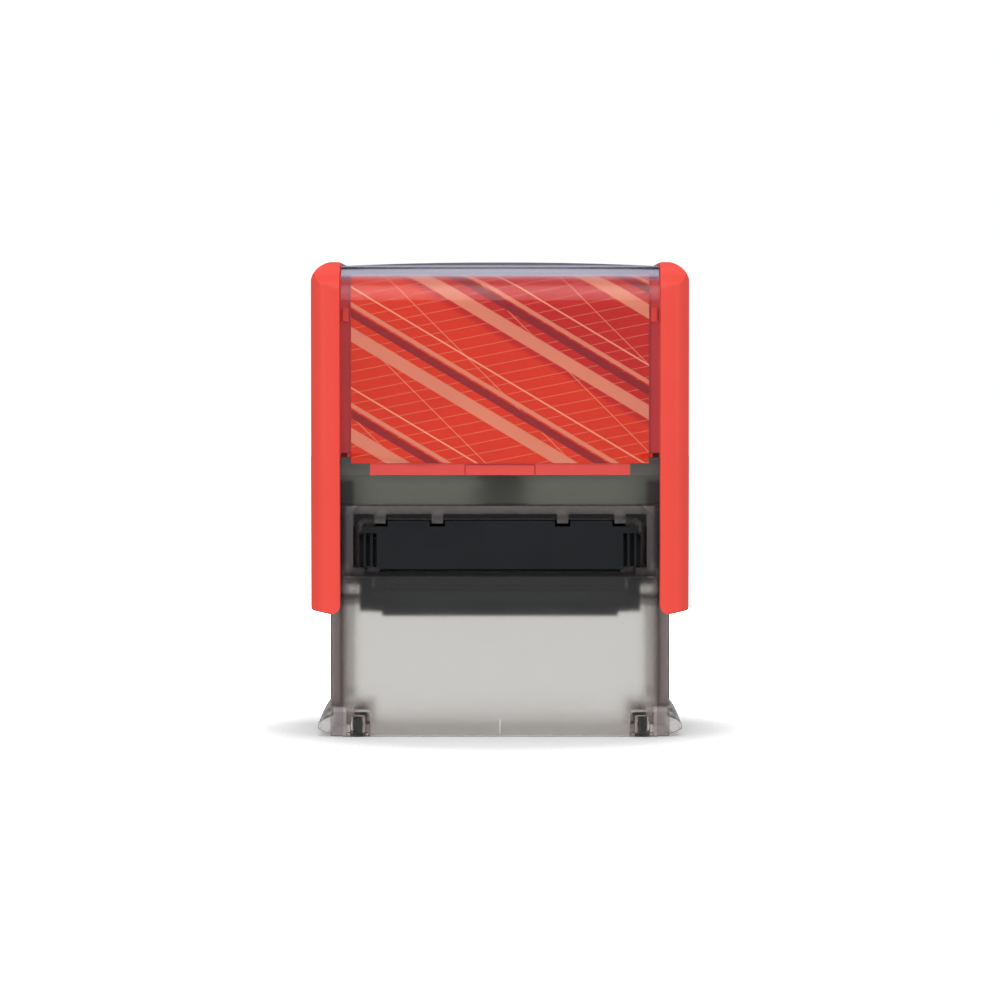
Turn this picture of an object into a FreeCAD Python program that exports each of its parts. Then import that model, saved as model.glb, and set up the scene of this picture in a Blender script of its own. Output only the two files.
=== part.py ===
import FreeCAD, Part
import math
import os

from FreeCAD import Vector

os.makedirs("parts", exist_ok=True)

# Self inking stamp, millimetres. X is the width, -Y the front, +Z up.
# The origin is the middle of the footprint, on the surface that the feet rest on.
# Sizes run outwards from the imprint: die, carrier, base walls, cap, cover, arms.

# Overall
IMPRINT_LENGTH = 38.0
IMPRINT_DEPTH = 14.0
OVERALL_HEIGHT = 71.2

# Die and carrier. Heights on the carrier are measured from its axle towards the die's face.
AXLE_TO_DIE_FACE = 4.7
RELIEF_HEIGHT = 1.0
RELIEF_INSET = 0.7
RELIEF_BORDER = 1.0
RELIEF_BAR_HALF = 0.7
RELIEF_BAR_SPACING = 3.2
RELIEF_BARS_FROM_EDGE = (3.5, 6.5, 10.0)
DIE_SHEET = 1.2
CUSHION = 0.8
CARRIER_PLATE = 1.7
CARRIER_MARGIN_X = 0.4
CARRIER_MARGIN_Y = 0.6
CARRIER_BACK_DEPTH = 2.3
CARRIER_BACK_INSET = 1.5
CARRIER_WALL = 1.2
CHEEK_THICKNESS = 2.0
CHEEK_HALF_DEPTH = 3.2
CHEEK_BELOW_AXLE = 1.8
CHEEK_END_RADIUS = 1.0
CHEEK_OVER_FOLLOWER = 0.5
BACK_RIB_SHORT = 0.3
FOLLOWER_OFFSET = 2.8
FOLLOWER_RADIUS = 0.7
FOLLOWER_LENGTH = 1.2
GROOVE_POINTS = 12
AXLE_RADIUS = 0.9
AXLE_GRIP = 1.8
AXLE_END_GAP = 0.1
AXLE_END_CHAMFER = 0.2

# Resting height of the axle, and the least room between the turning die and the pad
AXLE_Z = 20.0
DIE_SWING_ROOM = 0.1046
SWING_STEPS = 180

# Ink cartridge
PAD_PROUD = 0.5
PAD_THICKNESS = 3.5
PAD_MARGIN_X = 0.2
PAD_MARGIN_Y = 1.3
PAD_FIT = 0.1
TRAY_HEIGHT = 6.1
TRAY_EAR_HEIGHT = 1.0
TRAY_EAR_INSET = 0.5
GRIP_WIDTH = 2.7
TRAY_FACE_DROP = 0.3
TRAY_FACE_THICKNESS = 1.0
TRAY_FACE_RECESS = 0.7
TRAY_LIP_RISE = 0.85
TRAY_LIP_NOTCH_GAP = 0.3
TRAY_REAR_GAP = 0.7
TRAY_RIM = 1.7
TRAY_TOP_POCKET = 1.9
GRIP_DEPTH = 2.5
GRIP_RIB = 0.4
GRIP_RIB_SPACING = 1.0
GRIP_CORNER = 0.8
GRIP_SKIN = 0.4
BAY_GAP = 0.8
LEDGE_WIDTH = 1.6
LEDGE_THICKNESS = 1.1
CARTRIDGE_RUN = 0.1

# Base frame
CHEEK_GAP = 0.6
SIDE_WALL = 3.4
SWEEP_ROOM = 5.2
FRONT_WALL = 1.4
RAIL_STEP = 1.0
UPPER_WALL = 1.2
CAP_END_GAP = 1.9
BASE_LIFT = 0.15
DECK_THICKNESS = 1.2
DECK_OVER_WINDOW = 0.65
WINDOW_OVER_TRAY = 1.25
WINDOW_CHAMFER_WIDTH = 1.5
WINDOW_CHAMFER_HEIGHT = 1.25
SILL_UNDER_LEDGE = 0.1
SILL_FROM_WALL = 1.4
SILL_SLOPE = 1.2
SILL_UNDER_PAD = 0.25
SURROUND_DEPTH = 0.3
SURROUND_SIDE = 1.3
SURROUND_TOP = 2.05
SURROUND_BOTTOM = 0.65
SURROUND_CHAMFER = 2.0
RIB_WIDTH = 1.7
RIB_DROP = 0.75
RIBS_FROM_WALL = (12.6, 4.0)
PUSH_OUT_HALF = 12.0
PUSH_OUT_MARGIN = 1.0
SLOT_CLEARANCE = 0.15
GROOVE_DEPTH = 1.4
POCKET_NEAR_Y = 6.2
POCKET_FROM_END = 1.2
POCKET_LOW_Z = 4.5
POCKET_UNDER_LEDGE = 1.5
FLARE_REACH = 1.95
FLARE_ROOT = 2.4
FLARE_TOP_Z = 5.3
FLARE_END_Z = 3.0
FLARE_TIP_Z = 1.6
FLARE_TIP_THICKNESS = 0.9
FLARE_TIP_ROUND = 0.12
FLARE_SWELL = 0.55
FLARE_UNDERCUT = 0.5
FLARE_HEEL = 1.3
CENTRE_MARK_WIDTH = 0.25
CENTRE_MARK_DEPTH = 0.2
CENTRE_MARK_TOP_Z = 2.8
NOTCH_HALF = 2.9
NOTCH_UNDER_ARM = 0.9

# Rubber feet in the corner blocks
CORNER_LENGTH = 4.05
CORNER_DEPTH = 3.8
CORNER_HEIGHT = 3.7
CORNER_RADIUS = 0.8
FOOT_FLANGE_RADIUS = 1.7
FOOT_FLANGE = 0.5
FOOT_STEM_RADIUS = 0.95
FOOT_BALL_RADIUS = 1.15
FOOT_BALL_Z = 1.7
FOOT_TIP_Z = 3.0
FOOT_TIP_TAPER = 0.3
FOOT_FIT = 0.05
FOOT_IN_FROM_FRONT = 2.8
FOOT_IN_FROM_SIDE = 0.15

# Return spring and the posts that hold its ends
SPRING_RADIUS = 4.0
SPRING_WIRE = 1.0
SPRING_TURNS = 9.0
SPRING_POINTS_PER_TURN = 16
SPRING_SEAT = 0.05
POST_GAP = 0.6
POST_BORE = 1.6
BASE_POST = 8.0
CAP_POST = 6.0

# Cap with its two arms
SLIDE_GAP = 0.3
PANEL_WALL = 1.15
PANEL_OVER_WINDOW = 6.6
RAIL_GAP = 1.7
RAIL_ENGAGEMENT = 1.5
ARM_WALL = 1.1
ARM_FRONT_WALL = 1.2
ARM_LIP = 1.0
ARM_PROUD = 0.4
ARM_END_OVER_PAPER = 3.4
ARM_BOTTOM_RISE = 0.5
ARM_INNER_CORNER = 1.2
ARM_OUTER_CORNER = 0.5
ARM_SHOULDER_DROP = 2.6
ARM_SHOULDER_REACH = 0.22
ARM_SHOULDER_RISE = 0.64
ARM_TOP_EDGE = 0.05
ARM_CROWN_FROM_EDGE = 1.1
ARM_CROWN_SPARE = 0.4
BOSS_HALF = 2.4
BOSS_TOP_OVER_AXLE = 6.0
BOSS_GAP = 0.3
BOSS_BORE_DEPTH = 1.0
AXLE_RUN = 0.05

# Clear cover and the card under it
COVER_WALL = 1.1
COVER_EDGE_RADIUS = 5.6
COVER_CROWN = 0.6
COVER_SIDE_GAP = 0.2
LAYER_GAP = 0.1
CARD_THICKNESS = 0.25
CARD_INSET = 1.5
CARD_ABOVE_EDGE = 1.75
TAB_HALF = 5.2
TAB_HEIGHT = 1.55
TAB_PROUD = 0.35
TAB_CORNER = 0.4
CORNER_PAD_LENGTH = 3.9
CORNER_PAD_HEIGHT = 2.55
CORNER_PAD_PROUD = 0.2
LATCH_ROOM = 0.4
CORNER_SLOT_LENGTH = 2.0
CORNER_SLOT_HEIGHT = 0.6
CORNER_SLOT_ABOVE_PAD = 0.1
CATCH_WIDTH = 1.0
CATCH_HEIGHT = 2.2
CATCH_FROM_TOP = 7.9
CATCH_FROM_EDGE = 0.7
CATCH_NUB_FIT = 0.1
CATCH_NUB = 0.4

# Lock buttons in the arms
BUTTON_OVER_ARM_END = 27.3
BUTTON_RADIUS = 3.2
BUTTON_RUN = 0.15
BUTTON_FLANGE = 0.6
BUTTON_FLANGE_RADIUS = 4.0
BUTTON_RIM = 0.25

# Half widths, from the middle outwards
die_x = IMPRINT_LENGTH / 2
carrier_x = die_x + CARRIER_MARGIN_X
cheek_x = carrier_x + CHEEK_THICKNESS
wall_in_x = cheek_x + CHEEK_GAP
wall_out_x = wall_in_x + SIDE_WALL
arm_in_x = wall_out_x - RAIL_ENGAGEMENT
arm_hollow_x = wall_out_x + RAIL_GAP
arm_out_x = arm_hollow_x + ARM_WALL
front_x = arm_in_x - SLIDE_GAP
cover_x = arm_in_x - COVER_SIDE_GAP
card_x = cover_x - CARD_INSET
tray_x = wall_in_x - BAY_GAP
tray_face_x = tray_x - GRIP_WIDTH

# Half depths, from the middle outwards
die_y = IMPRINT_DEPTH / 2
carrier_y = die_y + CARRIER_MARGIN_Y
wall_in_y = die_y + SWEEP_ROOM
wall_out_y = wall_in_y + FRONT_WALL
rail_y = wall_out_y - RAIL_STEP
lip_y = rail_y + SLIDE_GAP
card_offset = COVER_WALL + LAYER_GAP
panel_offset = card_offset + CARD_THICKNESS + LAYER_GAP
hollow_offset = panel_offset + PANEL_WALL
cover_y = wall_out_y + SLIDE_GAP + hollow_offset
arm_y = cover_y + ARM_PROUD

# Heights
press_travel = AXLE_Z - AXLE_TO_DIE_FACE
arm_bottom_z = press_travel + ARM_END_OVER_PAPER
notch_z = ARM_END_OVER_PAPER - NOTCH_UNDER_ARM
button_z = arm_bottom_z + BUTTON_OVER_ARM_END
swing_turns = [math.pi / 2 * step / SWING_STEPS for step in range(SWING_STEPS)]
swing_rise = max(
    AXLE_TO_DIE_FACE * (math.cos(turn) - 1)
    + (die_y - RELIEF_INSET) * math.sin(turn)
    - press_travel * turn / math.pi
    for turn in swing_turns
)
pad_face_z = AXLE_Z + AXLE_TO_DIE_FACE + swing_rise + DIE_SWING_ROOM
tray_z = pad_face_z + PAD_PROUD
tray_top_z = tray_z + TRAY_HEIGHT
window_top_z = tray_top_z + WINDOW_OVER_TRAY
deck_z = window_top_z + DECK_OVER_WINDOW
deck_top_z = deck_z + DECK_THICKNESS
panel_bottom_z = window_top_z + PANEL_OVER_WINDOW
ceiling_z = OVERALL_HEIGHT - COVER_CROWN - hollow_offset
base_top_z = ceiling_z - press_travel - CAP_END_GAP
catch_z = OVERALL_HEIGHT - CATCH_FROM_TOP
relief_z = AXLE_TO_DIE_FACE - RELIEF_HEIGHT
sheet_z = relief_z - DIE_SHEET
cushion_z = sheet_z - CUSHION
cheek_top = FOLLOWER_OFFSET + FOLLOWER_RADIUS + CHEEK_OVER_FOLLOWER

FAR = 200.0


def block(x0, x1, y0, y1, z0, z1):
    """A box between two corners."""
    return Part.makeBox(x1 - x0, y1 - y0, z1 - z0, Vector(x0, y0, z0))


def slab(half_x, half_y, z0, z1):
    """A box centred on the Z axis."""
    return block(-half_x, half_x, -half_y, half_y, z0, z1)


def rod_x(radius, x0, x1, y, z):
    """A round rod along X."""
    return Part.makeCylinder(radius, x1 - x0, Vector(x0, y, z), Vector(1, 0, 0))


def mirrored(shape, across):
    """The shape and its mirror image, as two shapes."""
    return [shape, shape.mirror(Vector(0, 0, 0), across)]


def left_and_right(shape):
    return mirrored(shape, Vector(1, 0, 0))


def front_and_rear(shape):
    return mirrored(shape, Vector(0, 1, 0))


def four_corners(shape):
    return [copy for half in left_and_right(shape) for copy in front_and_rear(half)]


def joined(shapes):
    """One solid from shapes that touch or overlap."""
    return shapes[0].multiFuse(shapes[1:]).removeSplitter()


def drilled(shape, tools):
    for tool in tools:
        shape = shape.cut(tool)
    return shape


def outline(start, steps):
    """A closed face from a start point and steps: (end,) is a straight line, (middle, end) an arc."""
    edges = []
    here = start
    for step in steps:
        if len(step) == 1:
            edges.append(Part.makeLine(here, step[0]))
        else:
            edges.append(Part.Arc(here, step[0], step[1]).toShape())
        here = step[-1]
    if not here.isEqual(start, 1e-6):
        edges.append(Part.makeLine(here, start))
    return Part.Face(Part.Wire(edges))


def arch(x0, x1, half_y, bottom_z, top_z, radius):
    """A block whose two top edges, front and rear, are rounded."""
    bend = radius * (1 - math.sqrt(0.5))
    turn_z = top_z - radius
    face = outline(
        Vector(x0, half_y, bottom_z),
        [
            (Vector(x0, -half_y, bottom_z),),
            (Vector(x0, -half_y, turn_z),),
            (Vector(x0, bend - half_y, top_z - bend), Vector(x0, radius - half_y, top_z)),
            (Vector(x0, half_y - radius, top_z),),
            (Vector(x0, half_y - bend, top_z - bend), Vector(x0, half_y, turn_z)),
        ],
    )
    return face.extrude(Vector(x1 - x0, 0, 0))


def layer(half_x, offset, bottom_z):
    """The space inside the cover's outer surface, set in by an offset, and under its crown."""
    top_z = OVERALL_HEIGHT - offset - (COVER_CROWN if offset else 0)
    radius = COVER_EDGE_RADIUS - offset
    return arch(-half_x, half_x, cover_y - offset, bottom_z, top_z, radius)


def follower_point(turn, side):
    """Where the follower pin's path runs, or a groove wall at that side of it."""
    rate = press_travel / math.pi
    along_y = FOLLOWER_OFFSET * math.cos(turn)
    along_z = -rate - FOLLOWER_OFFSET * math.sin(turn)
    length = math.hypot(along_y, along_z)
    reach = side * (FOLLOWER_RADIUS + SLOT_CLEARANCE)
    y = FOLLOWER_OFFSET * math.sin(turn) + reach * along_z / length
    z = AXLE_Z - rate * turn + FOLLOWER_OFFSET * math.cos(turn) - reach * along_y / length
    return Vector(wall_in_x, y, z)


def follower_groove():
    """Curved blind groove in a side wall, which turns the carrier over as the cap goes down."""
    turns = [math.pi * n / GROOVE_POINTS for n in range(GROOVE_POINTS + 1)]
    walls = []
    for side in (-1, 1):
        curve = Part.BSplineCurve()
        curve.interpolate([follower_point(turn, side) for turn in turns])
        walls.append(curve.toShape())
    ends = [Part.makeLine(follower_point(turn, -1), follower_point(turn, 1)) for turn in (0, math.pi)]
    face = Part.Face(Part.Wire(Part.__sortEdges__(walls + ends)))
    shapes = [face.extrude(Vector(GROOVE_DEPTH, 0, 0))]
    for turn in (0, math.pi):
        middle = follower_point(turn, 0)
        width = FOLLOWER_RADIUS + SLOT_CLEARANCE
        shapes.append(rod_x(width, wall_in_x, wall_in_x + GROOVE_DEPTH, middle.y, middle.z))
    return joined(shapes)


def axle_slot():
    """Straight upright slot through a side wall, which the axle pin slides down."""
    half = AXLE_RADIUS + SLOT_CLEARANCE
    low_z = AXLE_Z - press_travel
    straight = block(wall_in_x, wall_out_x, -half, half, low_z, AXLE_Z)
    ends = [rod_x(half, wall_in_x, wall_out_x, 0, z) for z in (low_z, AXLE_Z)]
    return joined([straight] + ends)


def flare_section(y):
    """Closed outline of a flare at one depth. Its top sinks from the middle towards both ends."""
    tip_x = wall_out_x + FLARE_REACH
    root_x = wall_out_x - FLARE_ROOT
    top_z = FLARE_TOP_Z - (FLARE_TOP_Z - FLARE_END_Z) * (y / rail_y) ** 2
    tip_top_z = FLARE_TIP_Z + FLARE_TIP_THICKNESS / 2
    shoulder = Vector(wall_out_x - FLARE_TIP_ROUND, y, top_z)
    upper = Vector(tip_x - FLARE_TIP_ROUND, y, tip_top_z)
    lower = Vector(tip_x - FLARE_TIP_ROUND, y, FLARE_TIP_Z - FLARE_TIP_THICKNESS / 2)
    swell_x = wall_out_x + FLARE_SWELL * FLARE_REACH
    swell = Vector(swell_x, y, tip_top_z + FLARE_SWELL * (top_z - tip_top_z))
    under = Vector(wall_out_x + FLARE_UNDERCUT, y, BASE_LIFT + FLARE_UNDERCUT)
    heel = Vector(wall_out_x - FLARE_HEEL, y, BASE_LIFT)
    edges = [
        Part.makeLine(Vector(root_x, y, BASE_LIFT), Vector(root_x, y, top_z)),
        Part.makeLine(Vector(root_x, y, top_z), shoulder),
        Part.Arc(shoulder, swell, upper).toShape(),
        Part.Arc(upper, Vector(tip_x, y, FLARE_TIP_Z), lower).toShape(),
        Part.Arc(lower, under, heel).toShape(),
        Part.makeLine(heel, Vector(root_x, y, BASE_LIFT)),
    ]
    return Part.Wire(edges)


def side_flare():
    """Outward sweep of the frame's foot on one side, with a notch under the arm's axle boss."""
    steps = 6
    sections = [flare_section(rail_y * (2 * n / steps - 1)) for n in range(steps + 1)]
    flare = Part.makeLoft(sections, True, True)
    notch = block(wall_out_x, arm_out_x, -NOTCH_HALF, NOTCH_HALF, notch_z, 2 * FLARE_TOP_Z)
    return flare.cut(notch)


def window_shape(y0, y1):
    """Window that the cartridge slides through: chamfered at the top, stepped at the sill."""
    sill_z = tray_z - CARTRIDGE_RUN - SILL_UNDER_LEDGE
    low_x = wall_in_x - SILL_FROM_WALL - SILL_SLOPE
    low_z = pad_face_z - SILL_UNDER_PAD
    chamfer_z = window_top_z - WINDOW_CHAMFER_HEIGHT
    chamfer_x = wall_in_x - WINDOW_CHAMFER_WIDTH
    half = [
        (wall_in_x, sill_z),
        (wall_in_x, chamfer_z),
        (chamfer_x, window_top_z),
    ]
    right = [(low_x, low_z), (low_x + SILL_SLOPE, sill_z)] + half
    left = [(-x, z) for x, z in reversed(right)]
    points = [Vector(x, y0, z) for x, z in right + left]
    face = Part.Face(Part.makePolygon(points + points[:1]))
    return face.extrude(Vector(0, y1 - y0, 0))


def window_surround():
    """Shallow chamfered field round the window, sunk into the front wall."""
    side_x = wall_in_x + SURROUND_SIDE
    top_z = window_top_z + SURROUND_TOP
    bottom_z = pad_face_z - SILL_UNDER_PAD - SURROUND_BOTTOM
    right = [(side_x, bottom_z), (side_x, top_z - SURROUND_CHAMFER), (side_x - SURROUND_CHAMFER, top_z)]
    left = [(-x, z) for x, z in reversed(right)]
    points = [Vector(x, -wall_out_y, z) for x, z in right + left]
    face = Part.Face(Part.makePolygon(points + points[:1]))
    return face.extrude(Vector(0, SURROUND_DEPTH, 0))


def foot_place():
    """Where the front right foot stands."""
    return Vector(front_x - CORNER_LENGTH / 2 - FOOT_IN_FROM_SIDE, -(wall_out_y - FOOT_IN_FROM_FRONT), 0)


def foot_pocket():
    place = foot_place()
    flange = Part.makeCylinder(FOOT_FLANGE_RADIUS + FOOT_FIT, FOOT_FLANGE, place)
    bore = Part.makeCylinder(FOOT_BALL_RADIUS, FOOT_TIP_Z + FOOT_FIT, place)
    return joined([flange, bore])


def corner_block():
    """Block at the front right corner that holds a rubber foot."""
    low_x = front_x - CORNER_LENGTH
    solid = block(low_x, front_x, -wall_out_y, CORNER_DEPTH - wall_in_y, BASE_LIFT, CORNER_HEIGHT)
    edge = [
        e for e in solid.Edges
        if all(abs(v.X - low_x) < 0.01 and abs(v.Z - CORNER_HEIGHT) < 0.01 for v in e.Vertexes)
    ]
    return solid.makeFillet(CORNER_RADIUS, edge)


def spring_post(z0, z1):
    """Hollow post that stands inside one end of the return spring."""
    radius = SPRING_RADIUS - SPRING_WIRE / 2 - POST_GAP
    post = Part.makeCylinder(radius, z1 - z0, Vector(0, 0, z0))
    return post.cut(Part.makeCylinder(POST_BORE, z1 - z0, Vector(0, 0, z0)))


def base_frame():
    """Frame that stands on the paper: four walls, a deck over the cartridge bay, cam side walls."""
    walls = joined([
        slab(front_x, wall_out_y, BASE_LIFT, base_top_z),
        slab(wall_out_x, rail_y, BASE_LIFT, base_top_z),
    ])
    lower_room = slab(wall_in_x, wall_in_y, 0, deck_z)
    upper_room = slab(wall_out_x - UPPER_WALL, wall_in_y, deck_top_z, base_top_z)
    frame = drilled(walls, [lower_room, upper_room])

    ledge_top = tray_z - CARTRIDGE_RUN
    ledge = block(
        wall_in_x - LEDGE_WIDTH, wall_in_x, -wall_in_y, wall_in_y,
        ledge_top - LEDGE_THICKNESS, ledge_top,
    )
    additions = left_and_right(ledge) + left_and_right(side_flare()) + four_corners(corner_block())
    for from_wall in RIBS_FROM_WALL:
        rib_x = wall_in_x - from_wall
        rib = block(
            rib_x - RIB_WIDTH / 2, rib_x + RIB_WIDTH / 2, -wall_in_y, wall_in_y,
            window_top_z - RIB_DROP, deck_z,
        )
        front_end = block(
            rib_x - RIB_WIDTH / 2, rib_x + RIB_WIDTH / 2, -wall_out_y + SURROUND_DEPTH, -wall_in_y,
            window_top_z - RIB_DROP, deck_z,
        )
        additions += left_and_right(joined([rib, front_end]))
    additions.append(spring_post(deck_top_z, deck_top_z + BASE_POST))
    frame = frame.cut(window_surround())
    frame = frame.cut(window_shape(-wall_out_y, -wall_in_y))
    frame = joined([frame] + additions)

    side_pocket = block(
        wall_in_x, wall_out_x - UPPER_WALL, POCKET_NEAR_Y, wall_in_y - POCKET_FROM_END,
        POCKET_LOW_Z, ledge_top - POCKET_UNDER_LEDGE,
    )
    push_out = block(
        -PUSH_OUT_HALF, PUSH_OUT_HALF, wall_in_y, wall_out_y,
        tray_z + PUSH_OUT_MARGIN, tray_top_z - PUSH_OUT_MARGIN,
    )
    cuts = left_and_right(follower_groove()) + left_and_right(axle_slot())
    cuts += four_corners(side_pocket) + four_corners(foot_pocket()) + [push_out]
    mark = block(
        -CENTRE_MARK_WIDTH / 2, CENTRE_MARK_WIDTH / 2, -wall_out_y, CENTRE_MARK_DEPTH - wall_out_y,
        BASE_LIFT, CENTRE_MARK_TOP_Z,
    )
    cuts += front_and_rear(mark)
    return drilled(frame, cuts)


def rubber_foot():
    """Soft plug: a flange that meets the paper, a stem, and a ball that grips the corner block."""
    place = foot_place()
    flange = Part.makeCylinder(FOOT_FLANGE_RADIUS, FOOT_FLANGE, place)
    taper_z = FOOT_TIP_Z - FOOT_TIP_TAPER
    stem = Part.makeCylinder(FOOT_STEM_RADIUS, taper_z, place)
    tip_radius = FOOT_STEM_RADIUS - FOOT_TIP_TAPER
    tip = Part.makeCone(FOOT_STEM_RADIUS, tip_radius, FOOT_TIP_TAPER, place + Vector(0, 0, taper_z))
    ball = Part.makeSphere(FOOT_BALL_RADIUS, place + Vector(0, 0, FOOT_BALL_Z))
    return joined([flange, stem, tip, ball])


def tray_lip(front_y, face_y, low_z):
    """Raised top of the drawer's face, notched so that it passes the two inner ribs of the deck."""
    rib_half = RIB_WIDTH / 2 + TRAY_LIP_NOTCH_GAP
    inner_rib_x, outer_rib_x = sorted(wall_in_x - from_wall for from_wall in RIBS_FROM_WALL)
    lip_x = outer_rib_x - rib_half
    high_z = tray_top_z + TRAY_LIP_RISE
    lip = block(-lip_x, lip_x, front_y, face_y, low_z, high_z)
    notch = block(inner_rib_x - rib_half, inner_rib_x + rib_half, front_y, face_y, tray_top_z, high_z)
    return drilled(lip, left_and_right(notch))


def cartridge_tray():
    """Black drawer that holds the ink pad upside down, with finger grips at both front corners."""
    front_y = -(wall_out_y - TRAY_FACE_RECESS)
    rear_y = wall_in_y - TRAY_REAR_GAP
    ear_z = tray_top_z - TRAY_EAR_HEIGHT
    face_y = front_y + TRAY_FACE_THICKNESS
    body = joined([
        block(-tray_x, tray_x, front_y, rear_y, tray_z, ear_z),
        block(TRAY_EAR_INSET - tray_x, tray_x - TRAY_EAR_INSET, front_y, rear_y, ear_z, tray_top_z),
        block(-tray_face_x, tray_face_x, front_y, face_y, tray_z - TRAY_FACE_DROP, ear_z),
        tray_lip(front_y, face_y, ear_z),
    ])
    grip = block(tray_face_x, tray_x, front_y, front_y + GRIP_DEPTH, tray_z, ear_z)
    top_edge = [
        e for e in grip.Edges
        if all(abs(v.X - tray_x) < 0.01 and abs(v.Z - ear_z) < 0.01 for v in e.Vertexes)
    ]
    grip = grip.makeFillet(GRIP_CORNER, top_edge)
    for number in (1, 2):
        rib_x = tray_face_x + number * GRIP_RIB_SPACING - GRIP_RIB
        valley = block(rib_x, rib_x + GRIP_RIB, front_y + GRIP_SKIN, front_y + GRIP_DEPTH, tray_z, ear_z)
        grip = grip.cut(valley)
    rim_x = die_x + PAD_MARGIN_X + PAD_FIT
    rim_y = die_y + PAD_MARGIN_Y + PAD_FIT
    pad_room = slab(rim_x, rim_y, tray_z, tray_z + PAD_THICKNESS - PAD_PROUD)
    top_room = block(
        TRAY_RIM + TRAY_EAR_INSET - tray_x, tray_x - TRAY_EAR_INSET - TRAY_RIM,
        front_y + TRAY_RIM, rear_y - TRAY_RIM, tray_top_z - TRAY_TOP_POCKET, tray_top_z,
    )
    return drilled(body, left_and_right(grip) + [pad_room, top_room])


def ink_pad():
    return slab(die_x + PAD_MARGIN_X, die_y + PAD_MARGIN_Y, pad_face_z, pad_face_z + PAD_THICKNESS)


def die_carrier():
    """Plate that carries the die, with a hollow back, two end cheeks and their follower pins."""
    plate_z = AXLE_Z + cushion_z
    back_z = plate_z - CARRIER_PLATE
    low_z = AXLE_Z - CARRIER_BACK_DEPTH
    back_x = carrier_x - CARRIER_BACK_INSET
    back_y = carrier_y - 2 * CARRIER_WALL
    plate = slab(carrier_x, carrier_y, back_z, plate_z)
    back = slab(back_x, back_y, low_z, back_z)
    room = slab(back_x - CARRIER_WALL, back_y - CARRIER_WALL, low_z, back_z)
    back = back.cut(room)
    rib = block(-CARRIER_WALL / 2, CARRIER_WALL / 2, -back_y, back_y, low_z + BACK_RIB_SHORT, back_z)
    cheek = block(
        carrier_x, cheek_x, -CHEEK_HALF_DEPTH, CHEEK_HALF_DEPTH,
        AXLE_Z - CHEEK_BELOW_AXLE, AXLE_Z + cheek_top,
    )
    along_x = [e for e in cheek.Edges if abs(e.Vertexes[0].X - e.Vertexes[1].X) > 1]
    cheek = cheek.makeFillet(CHEEK_END_RADIUS, along_x)
    follower_end = cheek_x + FOLLOWER_LENGTH + CHEEK_GAP
    follower = rod_x(FOLLOWER_RADIUS, cheek_x, follower_end, 0, AXLE_Z + FOLLOWER_OFFSET)
    gusset = block(back_x, carrier_x, -CHEEK_HALF_DEPTH, CHEEK_HALF_DEPTH, AXLE_Z - CHEEK_BELOW_AXLE, back_z)
    ends = left_and_right(cheek) + left_and_right(gusset) + left_and_right(follower)
    carrier = joined([plate, back, rib] + ends)
    bore = rod_x(AXLE_RADIUS, cheek_x - AXLE_GRIP, cheek_x, 0, AXLE_Z)
    return drilled(carrier, left_and_right(bore))


def axle_pin():
    """Steel pin pressed into the carrier's right cheek, which turns in the right arm."""
    boss_x = wall_out_x + BOSS_GAP
    end_x = boss_x + BOSS_BORE_DEPTH - AXLE_END_GAP
    pin = rod_x(AXLE_RADIUS, cheek_x - AXLE_GRIP, end_x, 0, AXLE_Z)
    far_edge = [e for e in pin.Edges if all(abs(v.X - end_x) < 0.01 for v in e.Vertexes)]
    return pin.makeChamfer(AXLE_END_CHAMFER, far_edge)


def die_cushion():
    return slab(die_x, die_y, AXLE_Z + cushion_z, AXLE_Z + sheet_z)


def rubber_die():
    """Rubber sheet with a raised plain border and three bars that print."""
    base_z = AXLE_Z + relief_z
    face_z = AXLE_Z + AXLE_TO_DIE_FACE
    relief_x = die_x - RELIEF_INSET
    relief_y = die_y - RELIEF_INSET
    sheet = slab(die_x, die_y, AXLE_Z + sheet_z, base_z)
    frame = slab(relief_x, relief_y, base_z, face_z)
    frame = frame.cut(slab(relief_x - RELIEF_BORDER, relief_y - RELIEF_BORDER, base_z, face_z))
    bars = []
    for number, from_edge in enumerate(RELIEF_BARS_FROM_EDGE):
        bar_x = relief_x - from_edge
        bar_y = (number - 1) * RELIEF_BAR_SPACING
        near_y = bar_y - RELIEF_BAR_HALF
        far_y = bar_y + RELIEF_BAR_HALF
        bars.append(block(-bar_x, bar_x, near_y, far_y, base_z, face_z))
    return joined([sheet, frame] + bars)


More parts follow.
